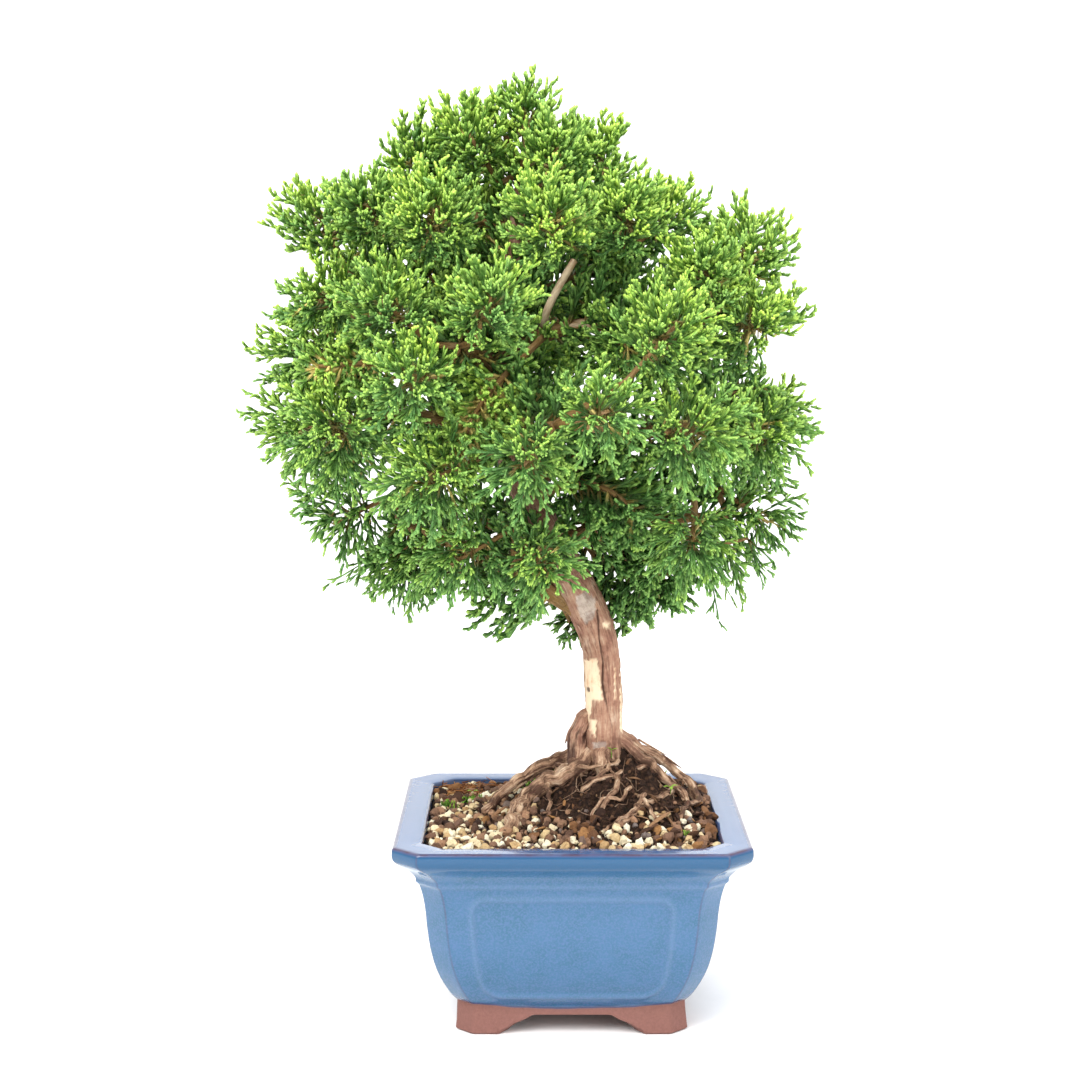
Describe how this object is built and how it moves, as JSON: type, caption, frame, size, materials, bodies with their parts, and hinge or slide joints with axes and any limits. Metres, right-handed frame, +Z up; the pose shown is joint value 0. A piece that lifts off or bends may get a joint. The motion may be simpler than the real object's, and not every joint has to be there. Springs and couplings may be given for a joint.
{
  "type": "kishu juniper bonsai",
  "caption": "Kishu juniper bonsai with a bare leaning trunk, exposed surface roots and a rounded head of green cord-like foliage, in a square blue-glazed clay pot on bracket feet.",
  "frame": {"origin": "middle of the whole bonsai's box, on the surface that the pot's feet stand on", "axes": "+Z up along the tree; +X to the right and -Y towards the viewer of the bonsai's front side"},
  "size_m": [0.249, 0.238, 0.4066],
  "materials": {
    "glazed_clay": "glossy blue glaze over stoneware, bare terracotta feet",
    "screen_plastic": "matt",
    "soil_mix": "rough loose grains of pumice, baked clay and bark",
    "bark": "stringy fissured bark",
    "scale_foliage": "soft satin green scale leaves"
  },
  "bodies": {
    "root": {"pot": "glazed_clay", "drainage_screen": "screen_plastic", "soil": "soil_mix", "tree_wood": "bark", "foliage_crown_1": "scale_foliage", "foliage_crown_2": "scale_foliage", "foliage_crown_3": "scale_foliage", "foliage_crown_4": "scale_foliage", "foliage_crown_5": "scale_foliage", "foliage_crown_6": "scale_foliage", "foliage_crown_7": "scale_foliage", "foliage_upper_1": "scale_foliage", "foliage_upper_2": "scale_foliage", "foliage_upper_3": "scale_foliage", "foliage_upper_4": "scale_foliage", "foliage_upper_5": "scale_foliage", "foliage_upper_6": "scale_foliage", "foliage_upper_7": "scale_foliage", "foliage_upper_8": "scale_foliage", "foliage_upper_9": "scale_foliage", "foliage_upper_10": "scale_foliage", "foliage_upper_11": "scale_foliage", "foliage_upper_12": "scale_foliage", "foliage_middle_1": "scale_foliage", "foliage_middle_2": "scale_foliage", "foliage_middle_3": "scale_foliage", "foliage_middle_4": "scale_foliage", "foliage_middle_5": "scale_foliage", "foliage_middle_6": "scale_foliage", "foliage_middle_7": "scale_foliage", "foliage_middle_8": "scale_foliage", "foliage_middle_9": "scale_foliage", "foliage_middle_10": "scale_foliage", "foliage_middle_11": "scale_foliage", "foliage_middle_12": "scale_foliage", "foliage_middle_13": "scale_foliage", "foliage_lower_1": "scale_foliage", "foliage_lower_2": "scale_foliage", "foliage_lower_3": "scale_foliage", "foliage_lower_4": "scale_foliage", "foliage_lower_5": "scale_foliage", "foliage_lower_6": "scale_foliage", "foliage_lower_7": "scale_foliage", "foliage_lower_8": "scale_foliage", "foliage_lower_9": "scale_foliage", "foliage_lower_10": "scale_foliage", "foliage_lower_11": "scale_foliage", "foliage_lower_12": "scale_foliage", "foliage_hanging_1": "scale_foliage", "foliage_hanging_2": "scale_foliage", "foliage_hanging_3": "scale_foliage", "foliage_hanging_4": "scale_foliage", "foliage_hanging_5": "scale_foliage", "foliage_hanging_6": "scale_foliage", "foliage_hanging_7": "scale_foliage", "foliage_hanging_8": "scale_foliage", "foliage_hanging_9": "scale_foliage", "foliage_hanging_10": "scale_foliage", "foliage_hanging_11": "scale_foliage"}
  },
  "joints": []
}
